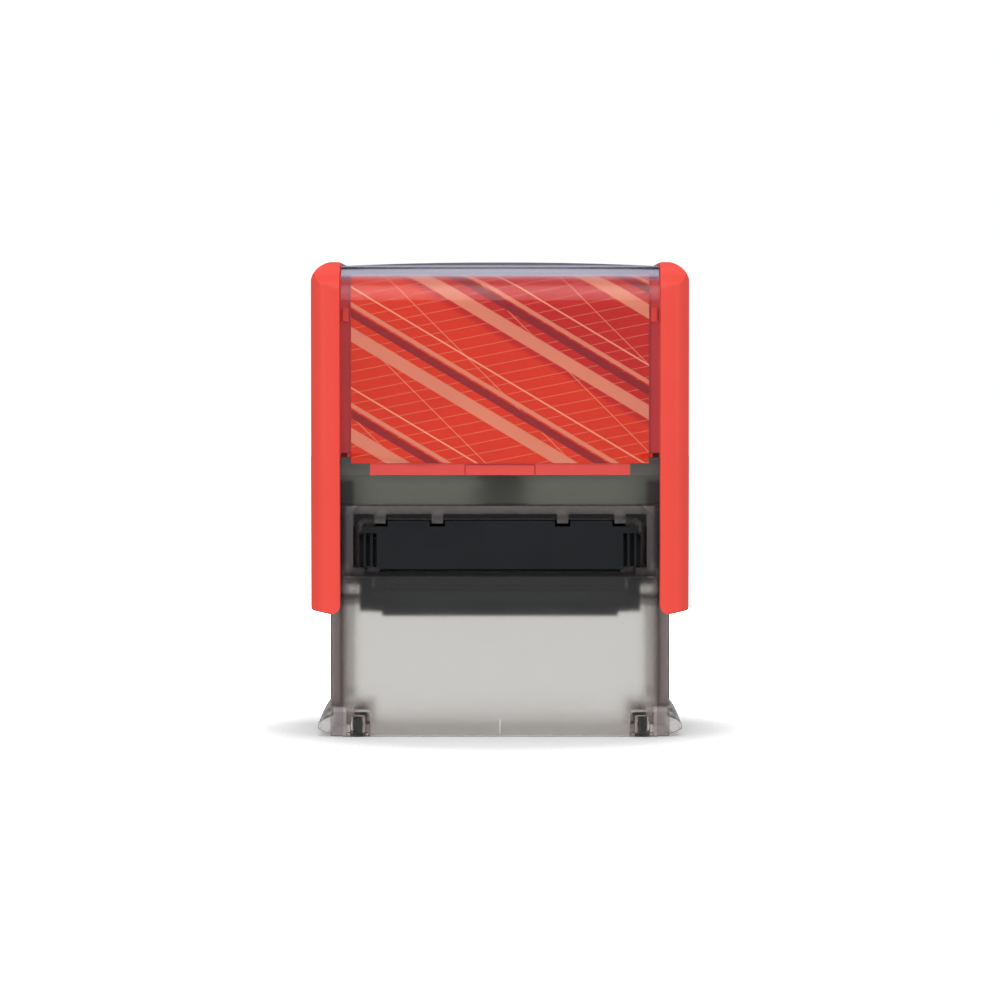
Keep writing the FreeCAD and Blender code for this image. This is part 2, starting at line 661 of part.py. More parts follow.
def arm_body():
    """The right arm's outer form: straight below, crowned across its face, with a rounded shoulder."""
    top_z = OVERALL_HEIGHT - ARM_TOP_EDGE
    shoulder_z = top_z - ARM_SHOULDER_DROP
    low_out_z = arm_bottom_z + ARM_BOTTOM_RISE
    inner = ARM_INNER_CORNER * (1 - math.sqrt(0.5))
    outer = ARM_OUTER_CORNER * (1 - math.sqrt(0.5))
    width = arm_out_x - arm_in_x
    y0 = -arm_y
    front = outline(
        Vector(arm_in_x, y0, top_z),
        [
            (Vector(arm_in_x, y0, arm_bottom_z + ARM_INNER_CORNER),),
            (
                Vector(arm_in_x + inner, y0, arm_bottom_z + inner),
                Vector(arm_in_x + ARM_INNER_CORNER, y0, arm_bottom_z),
            ),
            (Vector(arm_out_x - ARM_OUTER_CORNER, y0, low_out_z),),
            (
                Vector(arm_out_x - outer, y0, low_out_z + outer),
                Vector(arm_out_x, y0, low_out_z + ARM_OUTER_CORNER),
            ),
            (Vector(arm_out_x, y0, shoulder_z),),
            (
                Vector(
                    arm_out_x - width * ARM_SHOULDER_REACH, y0,
                    shoulder_z + ARM_SHOULDER_DROP * ARM_SHOULDER_RISE,
                ),
                Vector(arm_in_x, y0, top_z),
            ),
        ],
    ).extrude(Vector(0, 2 * arm_y, 0))
    side = arch(arm_in_x, arm_out_x, arm_y, 0, OVERALL_HEIGHT + ARM_PROUD, COVER_EDGE_RADIUS + ARM_PROUD)
    crown_x = arm_in_x + ARM_CROWN_FROM_EDGE
    crown = arm_out_x - crown_x + ARM_CROWN_SPARE
    first = math.asin((arm_in_x - crown_x) / crown)
    last = math.asin((arm_out_x - crown_x) / crown)

    def face_point(turn, side_sign):
        y = arm_y - crown + crown * math.cos(turn)
        return Vector(crown_x + crown * math.sin(turn), side_sign * y, 0)

    middle = (first + last) / 2
    plan = outline(
        face_point(first, -1),
        [
            (face_point(middle, -1), face_point(last, -1)),
            (face_point(last, 1),),
            (face_point(middle, 1), face_point(first, 1)),
        ],
    ).extrude(Vector(0, 0, OVERALL_HEIGHT))
    return front.common(side).common(plan)


def cap_bow():
    """Red cap that the hand presses: an arched cover plate between two hollow arms."""
    arms = left_and_right(arm_body())
    panel = layer(arm_in_x + ARM_LIP, panel_offset, panel_bottom_z)
    panel = panel.common(slab(arm_in_x + ARM_LIP, FAR, 0, FAR))
    cap = joined([panel] + arms)

    hollow_y = wall_out_y + SLIDE_GAP
    inner_radius = COVER_EDGE_RADIUS - hollow_offset
    middle_room = arch(-arm_in_x, arm_in_x, hollow_y, 0, ceiling_z, inner_radius)
    channel = arch(-arm_hollow_x, arm_hollow_x, lip_y, 0, ceiling_z, inner_radius)
    arm_room = arch(
        arm_in_x + ARM_LIP, arm_hollow_x, arm_y - ARM_FRONT_WALL, 0,
        ceiling_z, COVER_EDGE_RADIUS + ARM_PROUD - ARM_FRONT_WALL,
    )
    cap = drilled(cap, [middle_room, channel] + left_and_right(arm_room))

    boss_x = wall_out_x + BOSS_GAP
    boss = block(
        boss_x, arm_hollow_x, -BOSS_HALF, BOSS_HALF,
        arm_bottom_z + ARM_BOTTOM_RISE, AXLE_Z + BOSS_TOP_OVER_AXLE,
    )
    nub_x = cover_x - CATCH_FROM_EDGE
    nub_half_x = CATCH_WIDTH / 2 - CATCH_NUB_FIT
    nub_half_z = CATCH_HEIGHT / 2 - CATCH_NUB_FIT
    panel_y = cover_y - panel_offset
    nub = block(
        nub_x - nub_half_x, nub_x + nub_half_x, -panel_y - CATCH_NUB, -panel_y,
        catch_z - nub_half_z, catch_z + nub_half_z,
    )
    latch_room = block(
        cover_x - CORNER_PAD_LENGTH - LATCH_ROOM, arm_in_x, -cover_y - LATCH_ROOM, LATCH_ROOM - hollow_y,
        panel_bottom_z - LATCH_ROOM, panel_bottom_z + CORNER_PAD_HEIGHT,
    )
    cap = drilled(cap, four_corners(latch_room))
    additions = left_and_right(boss) + four_corners(nub)
    additions.append(spring_post(ceiling_z - CAP_POST, ceiling_z))
    cap = joined([cap] + additions)

    socket = rod_x(AXLE_RADIUS + AXLE_RUN, boss_x, boss_x + BOSS_BORE_DEPTH, 0, AXLE_Z)
    button_hole = rod_x(BUTTON_RADIUS + BUTTON_RUN, arm_hollow_x, arm_out_x, 0, button_z)
    return drilled(cap, left_and_right(socket) + left_and_right(button_hole))


def index_card():
    """Printed paper strip that lies over the front, the top and the rear of the cap."""
    bottom_z = panel_bottom_z + CARD_ABOVE_EDGE
    outer = layer(card_x, card_offset, bottom_z)
    return outer.cut(layer(card_x, card_offset + CARD_THICKNESS, bottom_z))


def clear_cover():
    """Clear shell that snaps over the card, with a thumb tab and latch corners at each lower edge."""
    shell = layer(cover_x, 0, panel_bottom_z).cut(layer(cover_x, COVER_WALL, panel_bottom_z))
    crown_radius = (cover_x**2 + COVER_CROWN**2) / (2 * COVER_CROWN)
    crown = Part.makeCylinder(
        crown_radius, 2 * FAR, Vector(0, -FAR, OVERALL_HEIGHT - crown_radius), Vector(0, 1, 0)
    )
    shell = shell.common(crown)

    tab = block(
        -TAB_HALF, TAB_HALF, -cover_y - TAB_PROUD, -cover_y, panel_bottom_z, panel_bottom_z + TAB_HEIGHT
    )
    along_y = [e for e in tab.Edges if abs(e.Vertexes[0].Y - e.Vertexes[1].Y) > TAB_PROUD / 2]
    tab = tab.makeFillet(TAB_CORNER, along_y)
    corner_top = panel_bottom_z + CORNER_PAD_HEIGHT
    corner = block(
        cover_x - CORNER_PAD_LENGTH, cover_x, -cover_y - CORNER_PAD_PROUD, -cover_y,
        panel_bottom_z, corner_top,
    )
    shell = joined([shell] + front_and_rear(tab) + four_corners(corner))

    slot_x = cover_x - CORNER_PAD_LENGTH / 2
    slot_z = corner_top + CORNER_SLOT_ABOVE_PAD
    slot = block(
        slot_x - CORNER_SLOT_LENGTH / 2, slot_x + CORNER_SLOT_LENGTH / 2, -cover_y, COVER_WALL - cover_y,
        slot_z, slot_z + CORNER_SLOT_HEIGHT,
    )
    catch_x = cover_x - CATCH_FROM_EDGE
    catch = block(
        catch_x - CATCH_WIDTH / 2, catch_x + CATCH_WIDTH / 2, -cover_y, COVER_WALL - cover_y,
        catch_z - CATCH_HEIGHT / 2, catch_z + CATCH_HEIGHT / 2,
    )
    return drilled(shell, four_corners(slot) + four_corners(catch))


def return_spring():
    """Steel compression spring between the deck and the cap's ceiling."""
    low_z = deck_top_z + SPRING_SEAT + SPRING_WIRE / 2
    high_z = ceiling_z - SPRING_SEAT - SPRING_WIRE / 2
    count = round(SPRING_TURNS * SPRING_POINTS_PER_TURN)
    points = []
    for step in range(count + 1):
        turn = 2 * math.pi * step / SPRING_POINTS_PER_TURN
        z = low_z + (high_z - low_z) * step / count
        points.append(Vector(SPRING_RADIUS * math.cos(turn), SPRING_RADIUS * math.sin(turn), z))
    coil = Part.BSplineCurve()
    coil.interpolate(points)
    along = coil.toShape()
    wire_end = Part.makeCircle(SPRING_WIRE / 2, points[0], along.tangentAt(along.FirstParameter))
    return Part.Wire(along).makePipeShell([Part.Wire(wire_end)], True, True)


def lock_button():
    """Round button in the right arm, flush outside, with a flange that keeps it in."""
    face = rod_x(BUTTON_RADIUS, arm_hollow_x, arm_out_x, 0, button_z)
    rim = [e for e in face.Edges if all(abs(v.X - arm_out_x) < 0.01 for v in e.Vertexes)]
    face = face.makeFillet(BUTTON_RIM, rim)
    flange = rod_x(BUTTON_FLANGE_RADIUS, arm_hollow_x - BUTTON_FLANGE, arm_hollow_x, 0, button_z)
    return joined([face, flange])


def nodes():
    """Every piece of the stamp by name."""
    pieces = {
        "base_frame": base_frame(),
        "cartridge_tray": cartridge_tray(),
        "ink_pad": ink_pad(),
        "die_carrier": die_carrier(),
        "die_cushion": die_cushion(),
        "rubber_die": rubber_die(),
        "cap_bow": cap_bow(),
        "index_card": index_card(),
        "clear_cover": clear_cover(),
        "return_spring": return_spring(),
    }
    feet = four_corners(rubber_foot())
    places = ("right_front", "right_rear", "left_front", "left_rear")
    for place, foot in zip(places, feet):
        pieces["foot_" + place] = foot
    for side, pin in zip(("right", "left"), left_and_right(axle_pin())):
        pieces["axle_pin_" + side] = pin
    for side, button in zip(("right", "left"), left_and_right(lock_button())):
        pieces["lock_button_" + side] = button
    return pieces


for name, shape in nodes().items():
    shape.exportStep("parts/" + name + ".step")
    print(name, "solids", len(shape.Solids), "volume", round(shape.Volume, 2), "valid", shape.isValid())
print("press travel", press_travel)
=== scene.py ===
import math

import bmesh
import bpy
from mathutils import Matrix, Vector


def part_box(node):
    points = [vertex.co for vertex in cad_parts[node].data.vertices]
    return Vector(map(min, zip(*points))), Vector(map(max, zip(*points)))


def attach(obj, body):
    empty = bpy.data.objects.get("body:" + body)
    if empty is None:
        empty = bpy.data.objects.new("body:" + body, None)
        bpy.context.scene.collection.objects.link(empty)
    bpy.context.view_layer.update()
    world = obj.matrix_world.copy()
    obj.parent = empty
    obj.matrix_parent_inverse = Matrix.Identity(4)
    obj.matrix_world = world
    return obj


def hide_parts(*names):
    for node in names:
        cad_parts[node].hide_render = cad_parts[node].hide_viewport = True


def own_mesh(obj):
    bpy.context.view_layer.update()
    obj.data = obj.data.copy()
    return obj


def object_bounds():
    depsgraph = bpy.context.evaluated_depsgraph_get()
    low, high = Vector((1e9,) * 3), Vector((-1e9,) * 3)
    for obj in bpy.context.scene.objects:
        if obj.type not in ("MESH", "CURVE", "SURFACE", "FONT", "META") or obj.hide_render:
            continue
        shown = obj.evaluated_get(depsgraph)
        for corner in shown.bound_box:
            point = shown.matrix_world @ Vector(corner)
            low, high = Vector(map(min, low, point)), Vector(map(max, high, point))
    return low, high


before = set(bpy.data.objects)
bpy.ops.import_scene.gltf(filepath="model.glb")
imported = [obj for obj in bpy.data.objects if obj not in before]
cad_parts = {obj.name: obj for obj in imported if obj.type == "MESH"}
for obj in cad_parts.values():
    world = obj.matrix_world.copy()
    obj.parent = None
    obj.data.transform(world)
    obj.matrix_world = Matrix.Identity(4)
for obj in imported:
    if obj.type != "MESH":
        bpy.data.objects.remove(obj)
cad_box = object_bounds()
mm = 0.001

# The table: a white sweep that only takes the stamp's soft shadow, with even white light all round.
# A broad lamp above the front lights the face and draws the sheen on the top edge, two tall lamps
# light the arms, and one overhead lays the shadow under the base.
reach = 1.5
sweep_mesh = bpy.data.meshes.new("table_top")
sweep_mesh.from_pydata(
    [(-reach, -reach, 0), (reach, -reach, 0), (reach, reach, 0), (-reach, reach, 0)], [], [(0, 1, 2, 3)]
)
table_top = bpy.data.objects.new("table_top", sweep_mesh)
bpy.context.scene.collection.objects.link(table_top)
table_top.is_shadow_catcher = True


def new_material(name):
    """A material with a bare Principled surface, its node tree and that surface."""
    material = bpy.data.materials.new(name)
    material.use_nodes = True
    tree = material.node_tree
    return material, tree, tree.nodes["Principled BSDF"]


def colour(code):
    """Linear RGBA from a six-digit sRGB code."""
    parts = [int(code[i:i + 2], 16) / 255 for i in (0, 2, 4)]
    return [c / 12.92 if c <= 0.04045 else ((c + 0.055) / 1.055) ** 2.4 for c in parts] + [1.0]


white_paint, tree, surface = new_material("white_paint")
surface.inputs["Roughness"].default_value = 0.7
surface.inputs["Base Color"].default_value = colour("F4F4F4")
near = tree.nodes.new("ShaderNodeTexCoord")
radius = tree.nodes.new("ShaderNodeVectorMath")
radius.operation = "LENGTH"
tree.links.new(near.outputs["Object"], radius.inputs[0])
fade = tree.nodes.new("ShaderNodeMapRange")
fade.interpolation_type = "SMOOTHSTEP"
tree.links.new(radius.outputs["Value"], fade.inputs["Value"])
shadow_full, shadow_end = 0.026, 0.075
fade.inputs["From Min"].default_value = shadow_full
fade.inputs["From Max"].default_value = shadow_end
fade.inputs["To Min"].default_value = 1.0
fade.inputs["To Max"].default_value = 0.0
below = tree.nodes.new("ShaderNodeNewGeometry")
seen = tree.nodes.new("ShaderNodeMath")
seen.operation = "SUBTRACT"
seen.use_clamp = True
tree.links.new(fade.outputs[0], seen.inputs[0])
tree.links.new(below.outputs["Backfacing"], seen.inputs[1])
tree.links.new(seen.outputs[0], surface.inputs["Alpha"])
sweep_mesh.materials.append(white_paint)

room = bpy.data.worlds.new("white_room")
room.use_nodes = True
nodes, links = room.node_tree.nodes, room.node_tree.links
ray = nodes.new("ShaderNodeLightPath")
way = nodes.new("ShaderNodeTexCoord")
split = nodes.new("ShaderNodeSeparateXYZ")
links.new(way.outputs["Generated"], split.inputs[0])
front_wall, rear_wall, wall_blend = 0.30, 0.82, 0.25
front_to_back = nodes.new("ShaderNodeMapRange")
links.new(split.outputs["Y"], front_to_back.inputs["Value"])
front_to_back.inputs["From Min"].default_value = -wall_blend
front_to_back.inputs["From Max"].default_value = wall_blend
front_to_back.inputs["To Min"].default_value = front_wall
front_to_back.inputs["To Max"].default_value = rear_wall
white, cool_white = (1, 1, 1, 1), (0.93, 0.96, 1, 1)
all_round, mirrored, in_view = 0.52, 0.30, 1.02
light = nodes["Background"]
light.inputs["Color"].default_value = white
light.inputs["Strength"].default_value = all_round
so_far = light.outputs[0]
for rays, tone, strength in (
    ("Is Glossy Ray", cool_white, mirrored),
    ("Is Transmission Ray", white, front_to_back.outputs[0]),
    ("Is Camera Ray", white, in_view),
):
    wall = nodes.new("ShaderNodeBackground")
    wall.inputs["Color"].default_value = tone
    if isinstance(strength, float):
        wall.inputs["Strength"].default_value = strength
    else:
        links.new(strength, wall.inputs["Strength"])
    pick = nodes.new("ShaderNodeMixShader")
    links.new(ray.outputs[rays], pick.inputs[0])
    links.new(so_far, pick.inputs[1])
    links.new(wall.outputs[0], pick.inputs[2])
    so_far = pick.outputs[0]
links.new(so_far, nodes["World Output"].inputs["Surface"])
bpy.context.scene.world = room


def soft_light(name, place, aim, width, height, power, shine):
    """A rectangular soft light at a place, turned towards a point. A share of it shows in gloss."""
    away = Vector(place) - Vector(aim)
    for part, share in (("glint", shine), ("fill", 1.0 - shine)):
        if share == 0.0:
            continue
        lamp = bpy.data.lights.new(name + "_" + part, "AREA")
        lamp.shape = "RECTANGLE"
        lamp.size, lamp.size_y, lamp.energy = width, height, power * share
        holder = bpy.data.objects.new(lamp.name, lamp)
        holder.location = place
        holder.rotation_euler = away.to_track_quat("Z", "Y").to_euler()
        holder.visible_glossy = part == "glint"
        bpy.context.scene.collection.objects.link(holder)
    return holder


middle = (0, 0, 0.036)
soft_light("front_lamp", (0.0, -0.52, 0.38), middle, 0.42, 0.26, 1.3, 0.4)
soft_light("right_lamp", (0.46, -0.48, 0.10), middle, 0.16, 0.50, 1.45, 0.12)
soft_light("left_lamp", (-0.46, -0.48, 0.10), middle, 0.16, 0.50, 1.55, 0.12)
top_lamp = soft_light("top_lamp", (0.0, 0.02, 0.55), middle, 0.30, 0.30, 1.3, 0.0)
top_lamp.visible_transmission = False

distance = 0.62
tilt = math.radians(2.2)
aim_height = 0.0351
view_width = 0.1489
camera_data = bpy.data.cameras.new("camera")
camera_data.sensor_width = 36
camera_data.lens = camera_data.sensor_width * (distance - cad_box[1][1]) / view_width
camera = bpy.data.objects.new("camera", camera_data)
camera.location = (0.0, -distance * math.cos(tilt), aim_height + distance * math.sin(tilt))
camera.rotation_euler = (math.radians(90) - tilt, 0, 0)
bpy.context.scene.collection.objects.link(camera)
bpy.context.scene.camera = camera
bpy.context.scene.view_settings.view_transform = "Standard"
bpy.context.scene.cycles.transmission_bounces = 16
bpy.context.scene.cycles.max_bounces = 20
bpy.context.scene.cycles.transparent_max_bounces = 24


# Base frame: one clear polystyrene moulding, frosted by the tool, that everything else mounts in.
# Painted shade darkens it round the cartridge bay, and it is left clear at the corner blocks that hold the
# feet.
def made_plain(piece, finish):
    """Turns a piece's modifiers into its plain mesh in one material, smooth up to its sharp edges."""
    for even in (False, True):
        if even:
            shading = piece.modifiers.new("even_shading", "WEIGHTED_NORMAL")
            shading.weight = 100
            shading.keep_sharp = True
        view = bpy.context.evaluated_depsgraph_get()
        mesh = bpy.data.meshes.new_from_object(piece.evaluated_get(view))
        piece.modifiers.clear()
        piece.data = mesh
        if not even:
            mesh.materials.clear()
            mesh.materials.append(finish)
            mark_edges(mesh)


sharp_turn = math.radians(28)
first_wear, wear_range = 0.2, 0.25


def mark_edges(mesh):
    """Marks sharp edges, and stores how much the surface turns at each point, where handling polishes it and
    edge light is painted.
    """
    work = bmesh.new()
    work.from_mesh(mesh)
    for face in work.faces:
        face.smooth = True
    for edge in work.edges:
        edge.smooth = edge.calc_face_angle(0.0) < sharp_turn
    turns = []
    for point in work.verts:
        angles = [edge.calc_face_angle(0.0) for edge in point.link_edges]
        turn = max(angles, default=0.0)
        turns.append(min(1.0, max(0.0, (turn - first_wear) / wear_range)))
    work.to_mesh(mesh)
    work.free()
    worn_and_lit = mesh.attributes.new("edge_wear_and_light", "FLOAT", "POINT")
    worn_and_lit.data.foreach_set("value", turns)


def softened(node, body, slot, radius, finish, segments=4):
    """A copy of a node with rounded edges, riding on its body in place of the node."""
    merge_distance, flat_turn, corner_turn = 1e-7, math.radians(0.8), math.radians(35)
    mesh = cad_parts[node].data.copy()
    shape = bmesh.new()
    shape.from_mesh(mesh)
    bmesh.ops.remove_doubles(shape, verts=shape.verts, dist=merge_distance)
    bmesh.ops.dissolve_limit(shape, angle_limit=flat_turn, verts=shape.verts, edges=shape.edges)
    shape.to_mesh(mesh)
    shape.free()
    piece = bpy.data.objects.new(node + "_moulded", mesh)
    bpy.context.scene.collection.objects.link(piece)
    rounding = piece.modifiers.new("edge_radius", "BEVEL")
    rounding.width = radius
    rounding.segments = segments
    rounding.limit_method = "ANGLE"
    rounding.angle_limit = corner_turn
    rounding.miter_outer = "MITER_ARC"
    made_plain(piece, finish)
    return fitted(piece, body, slot, node)


def fitted(piece, body, slot, *nodes):
    """Fixes a finished piece to its body, in place of the nodes that it stands for."""
    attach(piece, body)
    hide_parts(*nodes)
    return piece


def number(tree, operation, first, second=None, third=None):
    """A Math node fed by sockets or plain numbers; returns its output."""
    node = tree.nodes.new("ShaderNodeMath")
    node.operation = operation
    for place, value in enumerate((first, second, third)):
        if value is None:
            continue
        if isinstance(value, (int, float)):
            node.inputs[place].default_value = value
        else:
            tree.links.new(value, node.inputs[place])
    return node.outputs[0]


def both(tree, first, second):
    """The product of two masks: 1 only where both are."""
    return number(tree, "MULTIPLY", first, second)


def mixed(tree, mask, first, second):
    """A colour between two by a mask. Each is a colour socket or a code."""
    node = tree.nodes.new("ShaderNodeMix")
    node.data_type = "RGBA"
    tree.links.new(mask, node.inputs["Factor"])
    for name, value in (("A", first), ("B", second)):
        socket = next(s for s in node.inputs if s.name == name and s.enabled)
        if isinstance(value, str):
            socket.default_value = colour(value)
        else:
            tree.links.new(value, socket)
    return next(s for s in node.outputs if s.enabled)


def between(tree, value, low, high, soft):
    """1 where a value lies between two limits, with soft edges."""
    masks = []
    for limit, inside in ((low, 1.0), (high, 0.0)):
        ramp = tree.nodes.new("ShaderNodeMapRange")
        ramp.interpolation_type = "SMOOTHSTEP"
        tree.links.new(value, ramp.inputs["Value"])
        ramp.inputs["From Min"].default_value = limit - soft
        ramp.inputs["From Max"].default_value = limit + soft
        ramp.inputs["To Min"].default_value = 1.0 - inside
        ramp.inputs["To Max"].default_value = inside
        masks.append(ramp.outputs[0])
    return number(tree, "MULTIPLY", masks[0], masks[1])


def own_place(tree):
    """The piece's own x, y and z, in millimetres."""
    place = tree.nodes.new("ShaderNodeTexCoord")
    scale = tree.nodes.new("ShaderNodeVectorMath")
    scale.operation = "SCALE"
    scale.inputs["Scale"].default_value = 1000.0
    tree.links.new(place.outputs["Object"], scale.inputs[0])
    split = tree.nodes.new("ShaderNodeSeparateXYZ")
    tree.links.new(scale.outputs[0], split.inputs[0])
    return split.outputs


def new_group(name, inputs, outputs):
    """An empty shader node group with its sockets, and its input and output nodes."""
    tree = bpy.data.node_groups.new(name, "ShaderNodeTree")
    for label, value in inputs:
        socket = tree.interface.new_socket(label, in_out="INPUT", socket_type="NodeSocketFloat")
        socket.default_value = value
    for label in outputs:
        tree.interface.new_socket(label, in_out="OUTPUT", socket_type="NodeSocketFloat")
    return tree, tree.nodes.new("NodeGroupInput"), tree.nodes.new("NodeGroupOutput")


def tool_grain_group():
    """Grain that a tool leaves on a moulding: height, gloss, slow clouding, and edges polished by use, a
    mask that also places painted edge light.
    """
    tree, given, result = new_group(
        "tool_grain",
        [("Grain Scale", 6000.0), ("Base Roughness", 0.4), ("Roughness Spread", 0.1), ("Edge Polish", 0.1)],
        ["Height", "Roughness", "Cloud", "Edge"],
    )
    place = tree.nodes.new("ShaderNodeTexCoord")
    fine = tree.nodes.new("ShaderNodeTexNoise")
    fine.inputs["Detail"].default_value = 3.0
    tree.links.new(place.outputs["Object"], fine.inputs["Vector"])
    tree.links.new(given.outputs["Grain Scale"], fine.inputs["Scale"])
    cloud = tree.nodes.new("ShaderNodeTexNoise")
    cloud.inputs["Scale"].default_value = 140.0
    cloud.inputs["Detail"].default_value = 4.0
    tree.links.new(place.outputs["Object"], cloud.inputs["Vector"])
    edge = tree.nodes.new("ShaderNodeAttribute")
    edge.attribute_name = "edge_wear_and_light"
    patchy = number(tree, "MULTIPLY", edge.outputs["Fac"], cloud.outputs[0])
    spread = number(tree, "SUBTRACT", cloud.outputs[0], 0.5)
    spread = number(tree, "MULTIPLY", spread, given.outputs["Roughness Spread"])
    rough = number(tree, "ADD", given.outputs["Base Roughness"], spread)
    polish = number(tree, "MULTIPLY", patchy, given.outputs["Edge Polish"])
    rough = number(tree, "SUBTRACT", rough, polish)
    tree.links.new(fine.outputs[0], result.inputs["Height"])
    tree.links.new(rough, result.inputs["Roughness"])
    tree.links.new(cloud.outputs[0], result.inputs["Cloud"])
    tree.links.new(patchy, result.inputs["Edge"])
    return tree


tool_grain = tool_grain_group()


def grained(tree, grain, roughness, spread, polish):
    """The tool grain placed in a material with its own values."""
    skin = tree.nodes.new("ShaderNodeGroup")
    skin.node_tree = tool_grain
    for label, value in (
        ("Grain Scale", grain), ("Base Roughness", roughness),
        ("Roughness Spread", spread), ("Edge Polish", polish),
    ):
        skin.inputs[label].default_value = value
    return skin


def lets_lamps_through(tree, surface, tint):
    """Lamps shine through a clear moulding, dimmed by a tint, instead of casting its full shadow."""
    path = tree.nodes.new("ShaderNodeLightPath")
    clear = tree.nodes.new("ShaderNodeBsdfTransparent")
    clear.inputs["Color"].default_value = colour(tint)
    choose = tree.nodes.new("ShaderNodeMixShader")
    tree.links.new(path.outputs["Is Shadow Ray"], choose.inputs[0])
    tree.links.new(surface.outputs[0], choose.inputs[1])
    tree.links.new(clear.outputs[0], choose.inputs[2])
    tree.links.new(choose.outputs[0], tree.nodes["Material Output"].inputs["Surface"])


frosted_plastic, tree, surface = new_material("frosted_plastic")
surface.inputs["Transmission Weight"].default_value = 1.0
surface.inputs["IOR"].default_value = 1.5
tray_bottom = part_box("cartridge_tray")[0][2] / mm
below, past_side, past_top = -1.0, 30.0, 90.0
rail_x, rail_end_x = 23.55, 25.5
block_x, block_top = 19.5, 3.75
bay_bottom = tray_bottom - 2.3
surround_x, surround_top, surround_cut = 23.3, 33.7, 2.0
side_shade_x, side_shade_top = 21.9, 38.6
mark_half, mark_top = 0.15, 2.8
wall_lean = 0.09
x, y, z = own_place(tree)
across = number(tree, "ABSOLUTE", x)
leaning = number(tree, "MULTIPLY_ADD", y, wall_lean, z)
slant = number(tree, "ADD", across, leaning)
rails = between(tree, across, rail_x, past_side, 0.1)
flares = between(tree, across, rail_end_x, past_side, 0.1)
# Painted shade: the walls round the cartridge bay are darkened, leaning back so that the rear wall seen
# through them darkens too.
painted_bay_shade = between(tree, leaning, bay_bottom, past_top, 0.25)
# Painted shade: a near-black band with cut top corners round the window, for the shaded inside of the bay.
painted_window_shade = between(tree, leaning, bay_bottom, surround_top, 0.1)
painted_window_shade = both(tree, painted_window_shade, between(tree, across, below, surround_x, 0.08))
cut_corner = between(tree, slant, 0.0, surround_x + surround_top - surround_cut, 0.1)
painted_window_shade = both(tree, painted_window_shade, cut_corner)
# Painted shade: dark columns down the sides of the bay, from the drawer up towards the cap.
painted_side_shade = between(tree, across, side_shade_x, past_side, 0.5)
painted_side_shade = both(tree, painted_side_shade, between(tree, z, tray_bottom, side_shade_top, 0.5))
painted_side_shade = number(tree, "MULTIPLY", painted_side_shade, 0.9)
low_part = between(tree, z, below, block_top, 0.08)
# Painted shade: the lower outer corners beside the corner blocks are darkened.
painted_heel_shade = both(tree, between(tree, across, rail_x - 0.4, rail_end_x, 0.1), low_part)
blocks = both(tree, between(tree, across, block_x, rail_x, 0.06), low_part)
mark = both(tree, between(tree, across, below, mark_half, 0.03), between(tree, z, below, mark_top, 0.05))
tone = "F1F0EE"
for mask, code in (
    (rails, "B4ABAA"), (flares, "D2CECD"), (painted_bay_shade, "ADB0A6"), (painted_window_shade, "3C3638"),
    (painted_side_shade, "574E50"), (painted_heel_shade, "94898A"), (blocks, "B9AEAB"), (mark, "FFFFFF"),
):
    tone = mixed(tree, mask, tone, code)
tree.links.new(tone, surface.inputs["Base Color"])
skin = grained(tree, 5000.0, 0.19, 0.05, 0.06)
polished = number(tree, "MULTIPLY", number(tree, "MAXIMUM", blocks, flares), 0.8)
frost = number(tree, "SUBTRACT", 1.0, polished)
frost = number(tree, "ADD", frost, between(tree, z, surround_top + 1.4, past_top, 0.3))
tree.links.new(number(tree, "MULTIPLY", skin.outputs["Roughness"], frost), surface.inputs["Roughness"])
lets_lamps_through(tree, surface, "D8D4D0")
softened("base_frame", "base", "frosted_base", 0.12 * mm, frosted_plastic)


# Feet: four soft black rubber plugs pushed up into the corner blocks. They are moulded matt, and
# only their flanges touch the paper.
def moulded(name, tone, tone_far, roughness, spread=0.12, grain=6000.0, depth=0.06, polish=0.12, gloss=0.5):
    """An opaque moulded finish: two close tones clouded together, grain in gloss and height."""
    material, tree, surface = new_material(name)
    skin = grained(tree, grain, roughness, spread, polish)
    tree.links.new(mixed(tree, skin.outputs["Cloud"], tone, tone_far), surface.inputs["Base Color"])
    tree.links.new(skin.outputs["Roughness"], surface.inputs["Roughness"])
    surface.inputs["Specular IOR Level"].default_value = gloss
    bump = tree.nodes.new("ShaderNodeBump")
    bump.inputs["Strength"].default_value = depth
    bump.inputs["Distance"].default_value = 0.00005
    tree.links.new(skin.outputs["Height"], bump.inputs["Height"])
    tree.links.new(bump.outputs[0], surface.inputs["Normal"])
    return material, tree, surface


foot_rubber, tree, surface = moulded("foot_rubber", "0C0C0D", "161617", 0.62, depth=0.2, gloss=0.25)
for place in ("right_front", "right_rear", "left_front", "left_rear"):
    softened("foot_" + place, "base", "foot_rubber", 0.08 * mm, foot_rubber)


